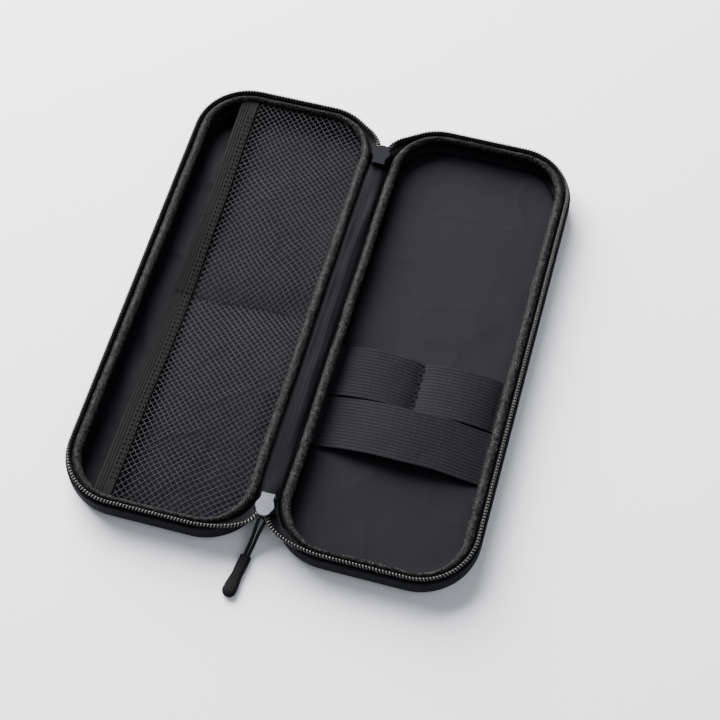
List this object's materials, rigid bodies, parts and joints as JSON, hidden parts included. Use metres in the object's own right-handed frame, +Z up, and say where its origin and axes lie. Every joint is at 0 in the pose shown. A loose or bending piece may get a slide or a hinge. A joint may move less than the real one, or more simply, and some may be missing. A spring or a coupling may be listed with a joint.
{
  "type": "cable organizer pouch",
  "caption": "Slim zip-round organizer pouch lying wide open: two lined trays on a cloth spine, with a net pocket, elastic loops and cord zip pulls.",
  "frame": {"origin": "on the table plane under the middle of the spine, at the bottom centre of the open pouch", "axes": "+Y along the spine towards the back slider, +X across to the tray with the elastic loops, +Z up out of the open trays"},
  "size_m": [0.1806, 0.2449, 0.016],
  "materials": {
    "outer_cloth": "smooth close-woven cloth over moulded foam",
    "stiffener": "plain sheet",
    "lining_cloth": "smooth lining with soft wrinkles",
    "binding_tape": "puffy woven binding tape",
    "zip_tape": "woven zip tape",
    "zip_coil": "glossy nylon coil",
    "spine_cloth": "smooth cloth with a faint sheen",
    "pocket_net": "open net with a slight shine",
    "elastic": "ribbed woven elastic",
    "thread": "polyester thread",
    "pad_cloth": "smooth cloth over thin padding",
    "black_slider_metal": "black painted casting",
    "gunmetal": "satin gunmetal plating",
    "pull_cord": "thin braided cord",
    "grip_rubber": "matte moulded rubber"
  },
  "bodies": {
    "left_half": {"left_shell": "outer_cloth", "left_base_board": "stiffener", "left_lining": "lining_cloth", "left_binding": "binding_tape", "left_zip_tape": "zip_tape", "left_zip_teeth": "zip_coil", "left_hinge_flap": "spine_cloth", "mesh_pocket": "pocket_net", "pocket_elastic": "elastic", "pocket_stitches": "thread"},
    "spine": {"spine_strip": "spine_cloth", "back_slider": "black_slider_metal", "front_slider": "gunmetal"},
    "right_half": {"right_shell": "outer_cloth", "right_base_board": "stiffener", "right_lining": "lining_cloth", "right_binding": "binding_tape", "right_zip_tape": "zip_tape", "right_zip_teeth": "zip_coil", "right_hinge_flap": "spine_cloth", "base_pad": "pad_cloth", "upper_loop": "elastic", "lower_loop": "elastic", "loop_stitches": "thread"},
    "back_pull": {"back_pull_cord": "pull_cord", "back_pull_grip": "grip_rubber"},
    "front_pull": {"front_pull_cord": "pull_cord", "front_pull_grip": "grip_rubber"}
  },
  "joints": [
    {"name": "left_crease", "type": "hinge", "parent": "left_half", "child": "spine", "pos_m": [-0.00225, 0, 0.01275], "axis": [0, -1, 0], "range_deg": [0, 90]},
    {"name": "right_crease", "type": "hinge", "parent": "spine", "child": "right_half", "pos_m": [0.00225, 0, 0.01275], "axis": [0, -1, 0], "range_deg": [0, 90]},
    {"name": "back_pull_swing", "type": "hinge", "parent": "spine", "child": "back_pull", "pos_m": [0, 0.0911, 0.0106], "axis": [1, 0, 0], "range_deg": [0, 150]},
    {"name": "front_pull_swing", "type": "hinge", "parent": "spine", "child": "front_pull", "pos_m": [0, -0.0969, 0.0106], "axis": [1, 0, 0], "range_deg": [-15, 75]}
  ],
  "couplings": [
    {"joint": "right_crease", "follows": "left_crease", "ratio": 1}
  ]
}
